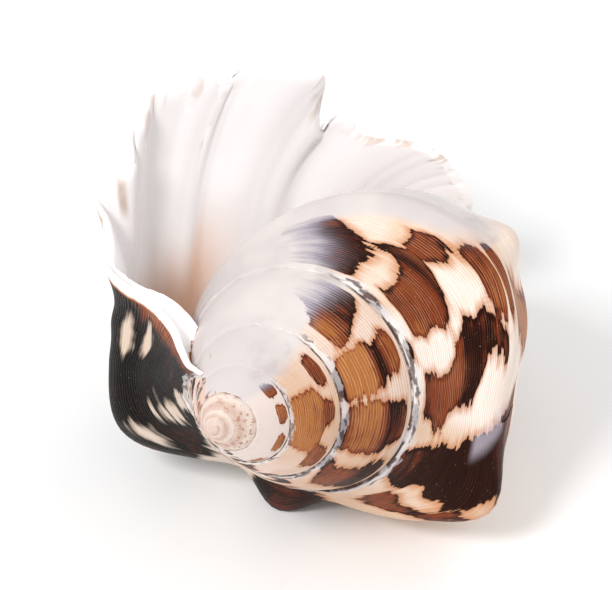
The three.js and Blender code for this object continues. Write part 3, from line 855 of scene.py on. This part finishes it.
# Further in, a dark brown painted shade.
porcelain = paint.mix(deep_w.between(0.73, 0.64) * 0.5, porcelain, tone("7d4f49"))
stain = down_w.between(0.43, 0.438) * down_w.between(0.442, 0.45, 1.0, 0.0) * (
    turn_w.between(6.668, 6.68) * turn_w.between(6.688, 6.697, 1.0, 0.0))
porcelain = paint.mix(stain * blotchy.between(0.3, 0.5, 0.35, 0.7), porcelain, tone("b3937a"))
near_rim = deep_w + (blotchy - 0.5) * 0.05
# Painted shade: the lining greys a little towards the rim.
porcelain = paint.mix(near_rim.between(0.88, 0.99, 0.0, 0.1), porcelain, tone("d5c6c4"))
rim_stain = near_rim.between(0.975, 0.99) * along.between(0.5, 0.62)
rim_stain = rim_stain * cloudy.between(0.42, 0.6) * down_w.between(0.42, 0.52)
porcelain = paint.mix(rim_stain * 0.45, porcelain, tone("b98f66"))
lined_w = lining_w.between(0.45, 0.6)
rim_line = lining_w.between(0.05, 0.4) * lining_w.between(0.5, 0.75, 1.0, 0.0)
coat = paint.mix(lined_w, coat, porcelain)
coat = paint.mix(rim_line * 0.85, coat, tone("c98d5c"))
print("shell paint:", len(paint.tree.nodes), "nodes so far")

# %% [markdown]
# ## Relief and gloss
# Bump raises the threads and the growth lines that cross them. The glaze and the lining are smoother than
# the outside, and only they have a weak coat, which gives them their wet look. A coat all over would be
# simpler, but it would mirror the pale room in the darkest browns too.

# %% Relief, gloss and the finished surface
CLEAR_COAT, COAT_ROUGHNESS, SPECULAR = 0.12, 0.06, 0.06
smooth_share = covered.most(lined_w)
growth_lines = paint.noise(paint.place(turn_w * 90, down_w * 4), 1.0, 3, flat=True)
ridges = (wave * 0.5 + fine * 0.3 + growth_lines * 0.8) * (1 - smooth_share)
relief = ridges + cloudy * 1.2 + growth_lines * 0.4
bumped = paint.node("ShaderNodeBump", {}, {"Strength": 0.3, "Distance": 0.0006, "Height": relief}, "Normal")
gloss = smooth_share.between(0, 1, 0.3, 0.2) + (fine - 0.5) * 0.12
paint.finish(shell, {"Base Color": coat, "Roughness": gloss, "Normal": bumped, "Specular IOR Level": SPECULAR,
                     "Coat Weight": (covered + lined_w) * CLEAR_COAT, "Coat Roughness": COAT_ROUGHNESS})
print("shell material:", len(paint.tree.nodes), "nodes")

# %% Smooth shading
pick(shell)
bpy.ops.object.shade_smooth_by_angle(angle=math.radians(50))
print("faces:", len(shell.data.polygons))

# %% [markdown]
# ## Studio
# A pale floor and a pale room give soft reflections in the glaze. A small, stronger light from the upper
# left draws the highlights, and a broad, weaker one from the right softens the shade.

# %% Floor and light
ROOM_LIGHT = 0.7
SHELL_MIDDLE = (0, 0, 0.05)
floor_paint = Paint("floor")
floor_paint.finish(floor, {"Base Color": (0.95, 0.95, 0.95, 1), "Roughness": 0.9, "Specular IOR Level": 0.1})
room = bpy.data.worlds.new("studio")
bpy.context.scene.world = room
room.use_nodes = True
room.node_tree.nodes["Background"].inputs["Color"].default_value = (1, 1, 1, 1)
room.node_tree.nodes["Background"].inputs["Strength"].default_value = ROOM_LIGHT


def soft_light(name, place, aim, size, power):
    bpy.ops.object.light_add(type="AREA", location=place)
    lamp = bpy.context.object
    lamp.name = name
    lamp.data.size = size
    lamp.data.energy = power
    lamp.rotation_euler = (Vector(aim) - Vector(place)).to_track_quat("-Z", "Y").to_euler()


soft_light("key light", place=(-0.42, -0.5, 0.75), aim=SHELL_MIDDLE, size=0.26, power=5.6)
soft_light("fill light", place=(0.5, 0.3, 0.7), aim=SHELL_MIDDLE, size=0.5, power=1.6)
bpy.context.scene.view_settings.view_transform = "Standard"

# %% Tie the shell to the frame and finish
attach(shell, "root")
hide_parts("shell")
